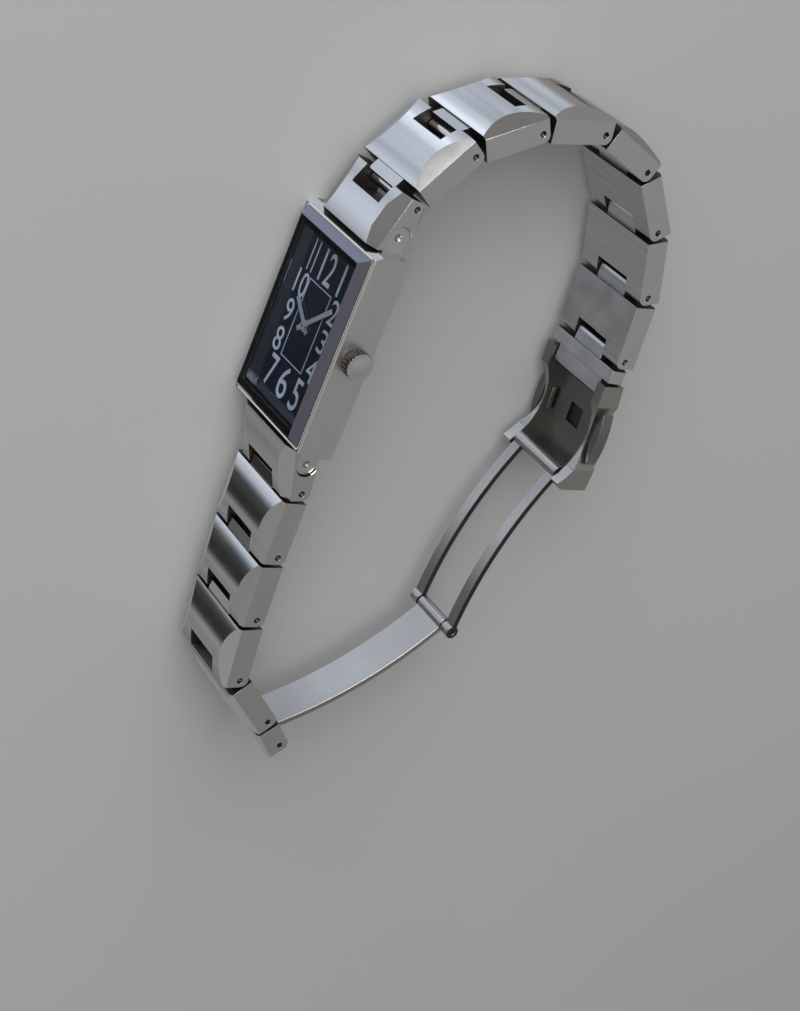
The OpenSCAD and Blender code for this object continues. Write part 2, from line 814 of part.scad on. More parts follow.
module clasp_link_12() {
    neck_u = clasp_len_12 - cover_end - 0.4;
    color("gainsboro") at_12(walk_12(links_12), turn_clasp_12) difference() {
        union() {
            across(tongue_w) tongue_side();
            intersection() {
                across(band_w) translate([slab_u, -link_under])
                    square([neck_u - slab_u, link_under + arch_end]);
                along_band(clasp_len_12) band_section(band_w, arch_end + 2 * eps);
            }
            across(barrel_w) {
                translate([clasp_len_12, 0]) circle(r = barrel_r);
                translate([slab_u, -barrel_r]) square([clasp_len_12 - slab_u, barrel_r + neck_top]);
            }
        }
        bar(pin_r + turn_fit, tongue_w + 1);
        translate([clasp_len_12, 0, 0]) bar(spring_bar_r + turn_fit, clear);
    }
}

module clasp_link_6() {
    color("gainsboro") at_6(walk_6(links_6), turn_clasp_6) link(clasp_len_6, window_u);
}

// Clasp cover: an arched channel, open towards the wrist, with a waist for the buttons
cover_full = cover_len + 2 * cover_end;
waist_u = cover_len / 2;
waist_r = arc_r(waist_len / 2, waist);
cover_rise = 0.5;
latch_skin = 0.25;
cover_r = arc_r(cover_full / 2, cover_rise);

module cover_plan() {
    difference() {
        translate([-cover_end, -cover_w / 2]) square([cover_full, cover_w]);
        for (side = [-1, 1]) {
            translate([waist_u, side * (cover_w / 2 + waist_r - waist)]) circle(r = waist_r, $fn = 180);
        }
    }
}

module cover_arch(lift) {
    translate([waist_u, cover_top - lift - cover_r]) circle(r = cover_r, $fn = 360);
}

module cover_wall_side() {
    bow_r = 9;
    bow_v = -0.1;
    difference() {
        intersection() {
            cover_arch(0);
            union() {
                translate([-cover_end, -cover_end])
                    square([cover_full - cover_end, cover_top + cover_end + 1]);
                translate([cover_len, -hinge_deep]) circle(r = cover_end);
                translate([cover_len - cover_end, -hinge_deep])
                    square([2 * cover_end, cover_top + hinge_deep + 1]);
            }
        }
        translate([waist_u, bow_v - bow_r]) circle(r = bow_r, $fn = 180);
    }
}

module clasp_cover() {
    color("silver") at_12(cover_pin, turn_cover) difference() {
        intersection() {
            across(cover_w) cover_wall_side();
            rotate([90, 0, 0]) translate([0, 0, -clear / 2]) linear_extrude(height = clear) cover_plan();
        }
        // Channel for the blades
        across(channel_w) intersection() {
            cover_arch(cover_floor);
            translate([-clear / 2, -clear / 2]) square([clear, clear]);
        }
        // Square latch recess, which leaves a thin skin under the outer face
        across(latch_hole) intersection() {
            cover_arch(latch_skin);
            translate([waist_u - latch_hole / 2, 0]) square([latch_hole, clear]);
        }
        bar(spring_bar_r + press_fit, cover_w - 1.2);
        translate([cover_len, -hinge_deep, 0]) bar(blade_pin_r + press_fit, cover_w - 1.2);
        // Ways of the push buttons
        translate([waist_u - shaft_l / 2 - seat_fit, button_v - shaft_h / 2 - seat_fit, -clear / 2])
            cube([shaft_l + 2 * seat_fit, shaft_h + 2 * seat_fit, clear]);
    }
}

module cover_spring_bar() {
    color("silver") at_12(cover_pin, turn_cover) bar(spring_bar_r, cover_w - 1.3);
}

module cover_hinge_pin() {
    color("silver") at_12(cover_pin, turn_cover) translate([cover_len, -hinge_deep, 0])
        bar(blade_pin_r, cover_w - 1.3);
}

// Push buttons: lens-shaped pads in the waist, each with a shaft and a catch inside
shaft_l = 3.2;
shaft_h = 0.7;
button_v = 0.85;
button_gap = button_travel + 0.15;
button_out = cover_w / 2 + 0.65;
button_face_r = 14;
button_root = 0.7;
catch_reach = 0.55;

// A lens between the pad's outer face and the waist, less the gap for its travel
module button_plan() {
    intersection() {
        translate([waist_u, button_out - button_face_r]) circle(r = button_face_r, $fn = 180);
        translate([waist_u, cover_w / 2 + waist_r - waist]) circle(r = waist_r - button_gap, $fn = 180);
    }
}

module push_button(side) {
    catch_in = channel_w / 2 - catch_reach;
    color("gray") at_12(cover_pin, turn_cover) mirror([0, 0, side < 0 ? 1 : 0]) union() {
        translate([0, button_v + button_h / 2, 0]) rotate([90, 0, 0])
            linear_extrude(height = button_h) button_plan();
        translate([waist_u - shaft_l / 2, button_v - shaft_h / 2, catch_in])
            cube([shaft_l, shaft_h, button_out - catch_in - button_root]);
    }
}

// Curve of a blade of a given length, bulging towards +Y
module blade_arc(len) {
    half = len / 2;
    centre = -sqrt(blade_curve_r * blade_curve_r - half * half);
    intersection() {
        translate([half, centre]) difference() {
            circle(r = blade_curve_r + blade_t / 2, $fn = 360);
            circle(r = blade_curve_r - blade_t / 2, $fn = 360);
        }
        translate([0, -blade_t]) square([len, half]);
    }
}

// Frame blade: two rails that end in a wide barrel in the cover and in two eyes at the inner blade
module frame_blade() {
    rail_out = channel_w / 2 - 0.25;
    color("lightgray") at_12(hinge_pin, 180 + turn_frame) difference() {
        union() {
            bar(eye_r, 2 * rail_out);
            for (side = [-1, 1]) {
                translate([0, 0, side * (rail_out - rail_w / 2)]) across(rail_w) {
                    translate([frame_len, 0]) circle(r = eye_r);
                    mirror([0, 1]) blade_arc(frame_len);
                }
            }
        }
        bar(blade_pin_r + turn_fit, clear);
        translate([frame_len, 0, 0]) bar(blade_pin_r + turn_fit, clear);
    }
}

// Inner blade: a strip with a barrel at each end and the latch post on its outer face
latch_play = 0.45;

module inner_blade() {
    post_u = inner_len - frame_len + waist_u;
    post_w = latch_hole - 2 * latch_play;
    post_v = post_u * (inner_len - post_u) / (2 * blade_curve_r);
    place = [inner_pin[0], inner_pin[1], mid];
    color("lightgray") translate(place) rotate([0, 0, inner_turn]) mirror([0, 1, 0])
        difference() {
            union() {
                across(inner_w) {
                    circle(r = eye_r);
                    translate([inner_len, 0]) circle(r = eye_r);
                    blade_arc(inner_len);
                }
                translate([post_u - post_w / 2, post_v, -post_w / 2]) cube([post_w, post_high, post_w]);
            }
            bar(pin_r + turn_fit, clear);
            translate([inner_len, 0, 0]) bar(blade_pin_r + press_fit, clear);
        }
}

module inner_blade_pin() {
    color("dimgray") bar_at(inner_pin, pin_r, band_w - 2 * pin_inset);
}

module blade_joint_pin() {
    color("dimgray") bar_at(blade_joint, blade_pin_r, inner_w);
}

case_middle();
case_back();
case_back_gasket();
case_back_screws();
crystal();
crystal_gasket();
dial_frame();
dial();
movement_holder();
main_plate();
train_bridge();
circuit_board();
coil();
button_cell();
centre_wheel();
hour_wheel();
minute_hand();
hour_hand();
crown_tube();
crown_gasket();
crown();
winding_stem();
lug_spring_bars();
end_link_12();
end_link_6();
end_link_pins();
for (i = [1:links_12]) {
    link_12(i);
    pin_12(i);
}
for (i = [1:links_6]) {
    link_6(i);
    pin_6(i);
}
clasp_link_12();
clasp_link_6();
clasp_cover();
cover_spring_bar();
cover_hinge_pin();
push_button(1);  // push_button_3
push_button(-1);  // push_button_9
frame_blade();
inner_blade();
inner_blade_pin();
blade_joint_pin();
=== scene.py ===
"""The looks of a small rectangular quartz watch on a steel link bracelet, lying on its 9 o'clock side."""
import json
from math import radians

import bmesh
import bpy
import numpy as np
from mathutils import Matrix, Vector


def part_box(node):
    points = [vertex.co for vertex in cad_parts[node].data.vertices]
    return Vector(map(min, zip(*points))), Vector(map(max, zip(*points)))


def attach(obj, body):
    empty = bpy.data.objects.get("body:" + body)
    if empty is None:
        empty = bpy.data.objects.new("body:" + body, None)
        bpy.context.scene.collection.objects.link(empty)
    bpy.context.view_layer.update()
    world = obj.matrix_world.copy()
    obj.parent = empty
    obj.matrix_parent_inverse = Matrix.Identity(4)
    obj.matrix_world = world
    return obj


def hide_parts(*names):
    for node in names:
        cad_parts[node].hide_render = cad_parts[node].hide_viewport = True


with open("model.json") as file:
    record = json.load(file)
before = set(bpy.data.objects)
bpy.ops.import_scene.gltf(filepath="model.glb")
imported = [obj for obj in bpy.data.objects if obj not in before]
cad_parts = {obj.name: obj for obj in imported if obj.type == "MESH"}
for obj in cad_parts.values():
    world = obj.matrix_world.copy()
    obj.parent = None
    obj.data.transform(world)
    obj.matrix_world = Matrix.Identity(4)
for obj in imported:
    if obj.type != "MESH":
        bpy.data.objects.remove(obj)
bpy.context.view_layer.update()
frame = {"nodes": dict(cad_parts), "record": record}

# Camera
# It stands 27 cm from the watch on its dial side and looks down at 46 degrees, rolled as the
# photograph is, so that 12 o'clock points up in the picture and the clasp lies to the right.
MM = 0.001
PICTURE_WIDTH_PX = 800
FOCAL_PX = 2129
SENSOR_MM = 36
camera_place = Vector((-79.2, -147.5, 214.1)) * MM
camera_look = Vector((0.358, 0.597, -0.718)).normalized()
camera_right = Vector((-0.367, 0.797, 0.480))
camera_right = (camera_right - camera_look * camera_right.dot(camera_look)).normalized()
camera_up = camera_right.cross(camera_look)

camera_data = bpy.data.cameras.new("camera")
camera_data.sensor_fit = "HORIZONTAL"
camera_data.sensor_width = SENSOR_MM
camera_data.lens = FOCAL_PX / PICTURE_WIDTH_PX * SENSOR_MM
camera_data.clip_start = 5 * MM
camera = bpy.data.objects.new("camera", camera_data)
camera.matrix_world = Matrix.Translation(camera_place) @ Matrix(
    (camera_right, camera_up, -camera_look)).transposed().to_4x4()
bpy.context.scene.collection.objects.link(camera)
bpy.context.scene.camera = camera
bpy.context.scene.view_settings.view_transform = "Standard"

# Floor and lamps
# A grey table painted with a roller, whose eggshell paint is matt and faintly mottled to the eye. It
# takes the watch's shadow and isn't mirrored in it. A soft window stands low beyond 12 o'clock, and a
# large soft panel hangs over the camera's shoulder.
FLOOR_HALF_M = 3.0
FLOOR_HEX = "#A0A2A3"
MOTTLE_HEX = "#A6A8A9"
MOTTLE_MM = 111
WATCH_MIDDLE = (0, 0.01, 0)


def linear(hex_colour, share=1.0):
    """Turns an sRGB hex colour into linear red, green and blue, each times a share, and an alpha of 1."""
    srgb = np.array([int(hex_colour[i:i + 2], 16) for i in (1, 3, 5)]) / 255
    light = np.where(srgb <= 0.04045, srgb / 12.92, ((srgb + 0.055) / 1.055) ** 2.4)
    return (*(share * light), 1.0)


def add(tree, kind, inputs=None, **properties):
    """Adds a node with its properties. Each input, by name or number, gets a value or another's socket."""
    node = tree.nodes.new(kind)
    for name, value in properties.items():
        setattr(node, name, value)
    for name, value in (inputs or {}).items():
        if isinstance(value, bpy.types.NodeSocket):
            tree.links.new(value, node.inputs[name])
        else:
            node.inputs[name].default_value = value
    return node


def new_material(name):
    """A material of a name and its empty node tree."""
    material = bpy.data.materials.new(name)
    material.use_nodes = True
    material.node_tree.nodes.clear()
    return material, material.node_tree


def mesh_object(name, points, faces, material):
    """A mesh object at the origin from an array of points in metres, an array of faces and a material."""
    mesh = bpy.data.meshes.new(name)
    mesh.from_pydata(points.tolist(), [], faces.tolist())
    mesh.materials.append(material)
    piece = bpy.data.objects.new(name, mesh)
    bpy.context.scene.collection.objects.link(piece)
    return piece


def eggshell_paint():
    """A matt tone between two greys that follows a noise of MOTTLE_MM."""
    material, tree = new_material("eggshell_painted_table")
    place = add(tree, "ShaderNodeTexCoord")
    mottle = add(tree, "ShaderNodeTexNoise",
                 {"Vector": place.outputs["Object"], "Scale": 1 / (MOTTLE_MM * MM), "Detail": 3.0})
    tone = add(tree, "ShaderNodeMix",
               {"Factor": mottle.outputs["Fac"], 6: linear(FLOOR_HEX), 7: linear(MOTTLE_HEX)},
               data_type="RGBA")
    paint = add(tree, "ShaderNodeBsdfPrincipled", {"Base Color": tone.outputs[2], "Roughness": 0.85})
    add(tree, "ShaderNodeOutputMaterial", {"Surface": paint.outputs[0]})
    return material


floor = mesh_object("floor", FLOOR_HALF_M * np.array([(-1, -1, 0), (1, -1, 0), (1, 1, 0), (-1, 1, 0)]),
                    np.array([(0, 1, 2, 3)]), eggshell_paint())
floor.visible_glossy = False
floor.visible_transmission = False


def soft_light(name, place, size, power, hex_colour):
    """A rectangular soft light at a place in metres, turned towards the watch."""
    data = bpy.data.lights.new(name, "AREA")
    data.shape = "RECTANGLE"
    data.size, data.size_y = size
    data.energy = power
    data.color = linear(hex_colour)[:3]
    lamp = bpy.data.objects.new(name, data)
    lamp.location = place
    lamp.rotation_euler = (Vector(WATCH_MIDDLE) - Vector(place)).to_track_quat("-Z", "Y").to_euler()
    bpy.context.scene.collection.objects.link(lamp)


soft_light("window", (-0.55, -0.30, 0.26), size=(0.6, 0.45), power=2.8, hex_colour="#FBFCFF")
soft_light("overhead_panel", (-0.34, -0.40, 0.72), size=(0.7, 0.7), power=4.4, hex_colour="#FFFAF3")

# Room
# What the polished steel and the glass mirror, also from below the table's level, since the floor
# isn't mirrored: dim walls with some clutter, a wide bluish window with a bright pane beyond 12
# o'clock, a second pane and a dark corner in front of the dial, and the panel overhead.
GROUND_LIGHT, SKY_LIGHT = 0.28, 0.32
GROUND_ENDS, SKY_STARTS = -0.35, 0.25
CLUTTER_DIM, CLUTTER_BRIGHT = 0.66, 1.40
CLUTTER_FROM, CLUTTER_TO = 0.36, 0.64
CLUTTER_SCALE = 3.2
WALL_HEX = "#F3F2F0"
DAYLIGHT_HEX = "#E0EAF9"
# A patch of light or shade has its direction, the cosines where it ends and is full, and its strength.
WINDOW = ((-0.48, -0.32, -0.80), 0.62, 0.77, 0.56)
WINDOW_PANE = ((-0.57, -0.28, -0.77), 0.975, 0.996, 0.50)
FRONT_PANE = ((-0.05, -0.68, -0.73), 0.980, 0.997, 0.40)
PANEL = ((-0.37, -0.52, 0.74), 0.74, 0.88, 0.50)
DARK_CORNER = ((0.30, -0.56, -0.77), 0.970, 0.994, -0.86)

world = bpy.data.worlds.new("room")
world.use_nodes = True
room = world.node_tree
room.nodes.clear()
gaze = add(room, "ShaderNodeTexCoord").outputs["Generated"]


def lobe(direction, outer, inner):
    """1 where the view direction is within inner (a cosine) of a direction, falling to 0 at outer."""
    near = add(room, "ShaderNodeVectorMath", {0: gaze, 1: Vector(direction).normalized()},
               operation="DOT_PRODUCT")
    return add(room, "ShaderNodeMapRange",
               {"Value": near.outputs["Value"], "From Min": outer, "From Max": inner},
               interpolation_type="SMOOTHSTEP").outputs[0]


upward = lobe((0, 0, 1), GROUND_ENDS, SKY_STARTS)
light = add(room, "ShaderNodeMapRange", {"Value": upward, "To Min": GROUND_LIGHT, "To Max": SKY_LIGHT})
for direction, outer, inner, strength in (WINDOW, WINDOW_PANE, FRONT_PANE, PANEL):
    light = add(room, "ShaderNodeMath", {0: lobe(direction, outer, inner), 1: strength, 2: light.outputs[0]},
                operation="MULTIPLY_ADD")
shade = add(room, "ShaderNodeMath", {0: lobe(*DARK_CORNER[:3]), 1: DARK_CORNER[3], 2: 1.0},
            operation="MULTIPLY_ADD")
things = add(room, "ShaderNodeTexNoise",
             {"Vector": gaze, "Scale": CLUTTER_SCALE, "Detail": 2.5, "Roughness": 0.55})
clutter = add(room, "ShaderNodeMapRange",
              {"Value": things.outputs["Fac"], "From Min": CLUTTER_FROM, "From Max": CLUTTER_TO,
               "To Min": CLUTTER_DIM, "To Max": CLUTTER_BRIGHT})
for factor in (shade, clutter):
    light = add(room, "ShaderNodeMath", {0: light.outputs[0], 1: factor.outputs[0]}, operation="MULTIPLY")
daylight = add(room, "ShaderNodeMix",
               {"Factor": lobe(*WINDOW[:3]), 6: linear(WALL_HEX), 7: linear(DAYLIGHT_HEX)},
               data_type="RGBA")
around = add(room, "ShaderNodeBackground", {"Strength": light.outputs[0], "Color": daylight.outputs[2]})
add(room, "ShaderNodeOutputWorld", {"Surface": around.outputs[0]})
bpy.context.scene.world = world

# Case middle
# A block of 316L stainless steel, milled, then polished on its front and ends and belt-ground on both
# long sides. To the eye the polish mirrors the room in a pale grey, and the sides are satin with fine
# lines along their length. The lugs that hold the bracelet lie under the end links.
EDGE_MM = 0.10
CASE_EDGE_MM = 0.12
# Corners nearer than WELD_MM are one, faces within FLAT are one, and an edge past SHARP is sharp.
WELD_MM = 0.0005
FLAT = radians(0.6)
SHARP = radians(20)
STEEL_HEX = "#DAD9D8"
# Real hairlines are 0.01 to 0.02 mm apart. They are drawn 0.04 mm wide or more, so that they show.
HAIRLINE_MM = 0.05
COARSE_HAIRLINE_MM = 0.06
HAIRLINE_DEPTH_MM = 0.004
STREAKS_PER_HAIRLINE = 0.22
CLOUD_MM = 3.85
# A noise lies mostly between these values, and takes a roughness between these shares of it.
NOISE_LOW, NOISE_HIGH = 0.3, 0.7
POLISH_LOW, POLISH_HIGH = 0.90, 1.15
SATIN_LOW, SATIN_HIGH = 0.85, 1.20
# A face begins to be a long side at the first cosine of its normal with Z, and is one at the second.
SIDE_FROM, SIDE_TO = 0.93, 0.99
# How often hairlines change along X, Y and Z, against across them.
ALONG_X = (0.02, 1, 1)
ALONG_Z = (1, 1, 0.03)


def metal(name, hex_colour, polish, grain, grain_mm, satin=None, drawn=0.04):
    """Metal whose roughness and tone follow noises, with hairlines of a width of grain_mm.

    polish is the middle roughness, which wanders over CLOUD_MM. satin, where given, is the roughness of
    the long sides, which are ground and not polished. grain is the direction of the hairlines. drawn is
    how far the broad streaks of the grinding, four or five hairlines wide, lift and lower the tone.
    """
    material, tree = new_material(name)
    place = add(tree, "ShaderNodeTexCoord")
    hair = add(tree, "ShaderNodeMapping",
               {"Vector": place.outputs["Object"], "Scale": Vector(grain) / (grain_mm * MM)})
    lines = add(tree, "ShaderNodeTexNoise",
                {"Vector": hair.outputs[0], "Scale": 1.0, "Detail": 2.0, "Roughness": 0.6})
    cloud = add(tree, "ShaderNodeTexNoise",
                {"Vector": place.outputs["Object"], "Scale": 1 / (CLOUD_MM * MM), "Detail": 3.0})
    rough = add(tree, "ShaderNodeMapRange",
                {"Value": cloud.outputs["Fac"], "From Min": NOISE_LOW, "From Max": NOISE_HIGH,
                 "To Min": POLISH_LOW * polish, "To Max": POLISH_HIGH * polish})
    if satin is not None:
        apart = add(tree, "ShaderNodeSeparateXYZ", {"Vector": place.outputs["Normal"]})
        flat = add(tree, "ShaderNodeMath", {0: apart.outputs["Z"]}, operation="ABSOLUTE")
        side = add(tree, "ShaderNodeMapRange",
                   {"Value": flat.outputs[0], "From Min": SIDE_FROM, "From Max": SIDE_TO})
        ground = add(tree, "ShaderNodeMapRange",
                     {"Value": lines.outputs["Fac"], "From Min": NOISE_LOW, "From Max": NOISE_HIGH,
                      "To Min": SATIN_LOW * satin, "To Max": SATIN_HIGH * satin})
        rough = add(tree, "ShaderNodeMix",
                    {"Factor": side.outputs[0], "A": rough.outputs[0], "B": ground.outputs[0]})
    streaks = add(tree, "ShaderNodeTexNoise",
                  {"Vector": hair.outputs[0], "Scale": STREAKS_PER_HAIRLINE, "Detail": 3.0, "Roughness": 0.7})
    tint = add(tree, "ShaderNodeMix",
               {"Factor": streaks.outputs["Fac"], 6: linear(hex_colour, 1 + drawn),
                7: linear(hex_colour, 1 - drawn)}, data_type="RGBA")
    relief = add(tree, "ShaderNodeBump",
                 {"Height": lines.outputs["Fac"], "Strength": 0.14, "Distance": HAIRLINE_DEPTH_MM * MM})
    shader = add(tree, "ShaderNodeBsdfPrincipled",
                 {"Base Color": tint.outputs[2], "Roughness": rough.outputs[0],
                  "Normal": relief.outputs[0], "Metallic": 1.0})
    add(tree, "ShaderNodeOutputMaterial", {"Surface": shader.outputs[0]})
    return material


def body_of(node):
    """The name of the body that a node rides on."""
    return next(body for body, nodes in frame["record"]["behaviour"]["bodies"].items() if node in nodes)


def tumbled(node, name, material, edge_mm=EDGE_MM):
    """A copy of a CAD node with its sharp edges rounded, as tumbling in a polishing drum leaves them."""
    solid = bmesh.new()
    solid.from_mesh(frame["nodes"][node].data)
    bmesh.ops.remove_doubles(solid, verts=solid.verts, dist=WELD_MM * MM)
    bmesh.ops.dissolve_limit(solid, angle_limit=FLAT, verts=solid.verts, edges=solid.edges)
    mesh = bpy.data.meshes.new(name)
    solid.to_mesh(mesh)
    solid.free()
    mesh.polygons.foreach_set("use_smooth", [True] * len(mesh.polygons))
    mesh.materials.append(material)
    piece = bpy.data.objects.new(name, mesh)
    bpy.context.scene.collection.objects.link(piece)
    rounding = piece.modifiers.new("rounding", "BEVEL")
    rounding.width = edge_mm * MM
    rounding.segments = 2
    rounding.limit_method = "ANGLE"
    rounding.angle_limit = SHARP
    rounding.use_clamp_overlap = True
    shading = piece.modifiers.new("shading", "WEIGHTED_NORMAL")
    shading.mode = "FACE_AREA_WITH_ANGLE"
    shading.keep_sharp = True
    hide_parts(node)
    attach(piece, body_of(node))
    return piece


def dress(material, *nodes):
    """Gives CAD nodes that keep their own mesh a material."""
    for node in nodes:
        slots = frame["nodes"][node].data.materials
        slots.clear()
        slots.append(material)


case_steel = metal("polished_316L_case_steel", STEEL_HEX, polish=0.14, grain=ALONG_X,
                   grain_mm=HAIRLINE_MM, satin=0.34, drawn=0.10)
tumbled("case_middle", "case_body", case_steel, CASE_EDGE_MM)

# Case back
# A plate of 304 steel held by four screws, with a nitrile gasket under its rim. It is ground in one
# direction, which gives it a soft grey sheen; the rubber is black and matt.
BACK_EDGE_MM = 0.08
TONE_SPREAD = 0.10
MOULDED_LOW, MOULDED_HIGH = 0.85, 1.15
back_steel = metal("ground_304_back_steel", "#CFCDCA", polish=0.30, grain=ALONG_X,
                   grain_mm=COARSE_HAIRLINE_MM)
tumbled("case_back", "back_cover", back_steel, BACK_EDGE_MM)
dress(back_steel, "case_back_screws")


def plain(name, hex_colour, roughness, cloud_mm, finish=None):
    """A moulded, printed or lacquered material: tone and roughness follow a noise of a size in mm."""
    material, tree = new_material(name)
    place = add(tree, "ShaderNodeTexCoord")
    cloud = add(tree, "ShaderNodeTexNoise",
                {"Vector": place.outputs["Object"], "Scale": 1 / (cloud_mm * MM), "Detail": 3.0})
    tone = add(tree, "ShaderNodeMix",
               {"Factor": cloud.outputs["Fac"], 6: linear(hex_colour),
                7: linear(hex_colour, 1 - TONE_SPREAD)}, data_type="RGBA")
    rough = add(tree, "ShaderNodeMapRange",
                {"Value": cloud.outputs["Fac"], "From Min": NOISE_LOW, "From Max": NOISE_HIGH,
                 "To Min": MOULDED_LOW * roughness, "To Max": MOULDED_HIGH * roughness})
    shader = add(tree, "ShaderNodeBsdfPrincipled",
                 {"Base Color": tone.outputs[2], "Roughness": rough.outputs[0], **(finish or {})})
    add(tree, "ShaderNodeOutputMaterial", {"Surface": shader.outputs[0]})
    return material


dress(plain("nitrile_rubber", "#17171A", roughness=0.7, cloud_mm=0.8), "case_back_gasket", "crown_gasket")

# Movement
# A plate and two wheels of yellow gilt brass in a milky white acetal ring, with a nickel-plated bridge
# and cell that look like pale steel, a circuit board under a green solder mask with a slight gloss, and
# a coil of copper wire that its varnish makes red brown.
WIRE_MM = 0.06
ROUND_COIL = (0.02, 0.02, 1)
gilt_brass = metal("gilt_brass", "#C9A55A", polish=0.28, grain=ALONG_Z, grain_mm=HAIRLINE_MM)
nickel_plate = metal("nickel_plated_brass", "#BDBBB6", polish=0.30, grain=ALONG_Z, grain_mm=HAIRLINE_MM)
copper_wire = metal("varnished_copper_wire", "#B8683A", polish=0.35, grain=ROUND_COIL, grain_mm=WIRE_MM)
acetal = plain("white_acetal", "#E4E3DC", roughness=0.45, cloud_mm=1.5)
solder_mask = plain("green_solder_mask", "#1E5A38", roughness=0.4, cloud_mm=0.6, finish={"Coat Weight": 0.3})
dress(acetal, "movement_holder")
dress(gilt_brass, "main_plate", "centre_wheel", "hour_wheel")
dress(nickel_plate, "train_bridge", "button_cell")
dress(solder_mask, "circuit_board")
dress(copper_wire, "coil")

# Dial
# A brass blank lacquered in a blue so dark that it is black where it mirrors nothing, inside a bright
# polished frame. Its long numerals and the thin line round the hands are printed in silver ink, which
# shines softly, and stand a few hundredths of a mm proud.
PRINT_MM = 0.03
LINE_HALF_HEIGHT_MM = 5.2
LINE_HALF_WIDTH_MM = 2.7
LINE_MM = 0.12
# Where each numeral stands, across towards 3 o'clock and up towards 12, then its width and height in mm.
NUMERALS = {12: (0, 7.9, 3.0, 4.2), 1: (3.6, 7.9, 0.42, 4.2), 2: (4.5, 3.9, 1.8, 3.2),
            3: (4.6, 0, 1.7, 3.0), 4: (4.5, -3.9, 1.9, 3.2), 5: (3.4, -7.9, 1.9, 4.2),
            6: (0, -7.9, 2.2, 4.2), 7: (-3.4, -7.9, 1.9, 4.2), 8: (-4.5, -3.9, 1.8, 3.2),
            9: (-4.6, 0, 1.7, 3.0), 10: (-4.2, 3.9, 2.8, 3.2), 11: (-3.8, 7.9, 1.3, 4.2)}
ACROSS_DIAL = (1, 1, 0.05)
FINE_HAIRLINE_MM = 0.04
dial_low, dial_high = (Vector(corner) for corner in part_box("dial"))
dial_middle = (dial_low + dial_high) / 2
lacquer = plain("blue_black_dial_lacquer", "#070B1C", roughness=0.20, cloud_mm=3.0,
                finish={"Coat Weight": 0.15, "Coat Roughness": 0.08, "Specular IOR Level": 0.30})
silver_ink = plain("silver_dial_print", "#C4CDDD", roughness=0.34, cloud_mm=0.5, finish={"Metallic": 0.45})
frame_steel = metal("bright_dial_frame_steel", "#E2E4E8", polish=0.12, grain=ACROSS_DIAL,
                    grain_mm=FINE_HAIRLINE_MM)
dress(lacquer, "dial")
dress(frame_steel, "dial_frame")


def on_dial(across_mm, up_mm, lift_mm):
    """Places on the dial: its middle moved across towards 3 o'clock, up towards 12 and out of its face."""
    moved = np.stack(np.broadcast_arrays(-up_mm, -lift_mm, across_mm), axis=-1) * MM
    return (dial_middle.x, dial_low.y, dial_middle.z) + moved


def numeral(hour, across_mm, up_mm, width_mm, height_mm):
    """The mesh of a numeral: the font's solid, stretched from its own box to the printed size in place."""
    text = bpy.data.curves.new(f"numeral_{hour}", "FONT")
    text.body = str(hour)
    text.extrude = 0.5
    letters = bpy.data.objects.new(f"numeral_{hour}", text)
    bpy.context.scene.collection.objects.link(letters)
    bpy.context.view_layer.update()
    mesh = bpy.data.meshes.new_from_object(letters.evaluated_get(bpy.context.evaluated_depsgraph_get()))
    bpy.data.objects.remove(letters)
    flat = np.empty(len(mesh.vertices) * 3)
    mesh.vertices.foreach_get("co", flat)
    points = flat.reshape(-1, 3)
    low, top = points.min(axis=0), points.max(axis=0)
    across, up, out = ((points - (low + top) / 2) / (top - low)).T
    placed = on_dial(across_mm + width_mm * across, up_mm + height_mm * up, PRINT_MM * (out + 0.5))
    mesh.vertices.foreach_set("co", placed.ravel())
    return mesh


numerals = bmesh.new()
for hour, place_and_size in NUMERALS.items():
    numerals.from_mesh(numeral(hour, *place_and_size))
bmesh.ops.recalc_face_normals(numerals, faces=numerals.faces)
printed = bpy.data.meshes.new("dial_numerals")
numerals.to_mesh(printed)
numerals.free()
printed.materials.append(silver_ink)
dial_numerals = bpy.data.objects.new("dial_numerals", printed)
bpy.context.scene.collection.objects.link(dial_numerals)
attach(dial_numerals, "head")


def printed_line(name):
    """A closed line with a square section, carried round a rectangle.

    Its four rings of corners are the rectangle on the dial, the same lifted by the print, that one
    grown by the line's width, and it let down to the dial. Each face joins two neighbouring corners
    of a ring with those of the next ring.
    """
    corners = np.array([(-1, -1), (1, -1), (1, 1), (-1, 1)])
    lift = PRINT_MM * np.array([[0], [1], [1], [0]])
    grow = LINE_MM * np.array([[0], [0], [1], [1]])
    across = corners[:, 0] * (LINE_HALF_WIDTH_MM + grow)
    up = corners[:, 1] * (LINE_HALF_HEIGHT_MM + grow)
    points = on_dial(across, up, lift).reshape(-1, 3)
    ring = np.arange(len(points)).reshape(across.shape)
    faces = np.stack((ring, np.roll(ring, -1, axis=1), np.roll(ring, (-1, -1), axis=(0, 1)),
                      np.roll(ring, -1, axis=0)), axis=-1)
    return mesh_object(name, points, faces.reshape(-1, 4), silver_ink)


dial_line = printed_line("dial_line")
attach(dial_line, "head")

# Hands
# Slim brass batons, rhodium-plated with a fine matt grain that catches a cool light from any side, and
# pressed on the post and the pipe at the centre.
rhodium_plate = metal("rhodium_plated_hands", "#DDE1E8", polish=0.38, grain=ACROSS_DIAL,
                      grain_mm=FINE_HAIRLINE_MM)
dress(rhodium_plate, "minute_hand", "hour_hand")

# Crystal
# Hardened mineral glass 1.7 mm thick, clear to the eye, ground to a steep bevel on all four sides. The
# bevels are vapour-coated like a half mirror, which gives the pale bands at the top and the right.
GLASS_EDGE_MM = 0.03
GLASS_IOR = 1.52
GLASS_HEX = "#F4F8FC"
# The bevel's normals have a cosine with the way out of the dial between these.
BEVEL_FROM, BEVEL_TO = 0.3, 0.99


